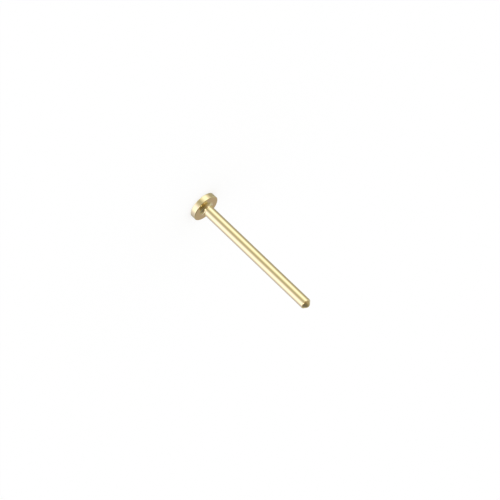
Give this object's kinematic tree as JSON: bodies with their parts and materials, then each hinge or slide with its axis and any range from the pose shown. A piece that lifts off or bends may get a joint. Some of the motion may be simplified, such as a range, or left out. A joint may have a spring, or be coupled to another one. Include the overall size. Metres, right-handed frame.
{
  "type": "nail head pin",
  "caption": "Turned and plated brass terminal pin: a thin disc head filleted into a long plain round shaft with a coned, rounded tip, soldered or pressed into a hole of a circuit board.",
  "frame": {"origin": "centre of the head's flat outer face, which the pin stands on", "axes": "+Z along the shaft, from the head to the tip; X and Y are free, as the pin is round"},
  "size_m": [0.002, 0.002, 0.0103],
  "materials": {
    "gold_plating": "bright gold plating over turned brass"
  },
  "bodies": {
    "root": {"headed_pin": "gold_plating"}
  },
  "joints": []
}
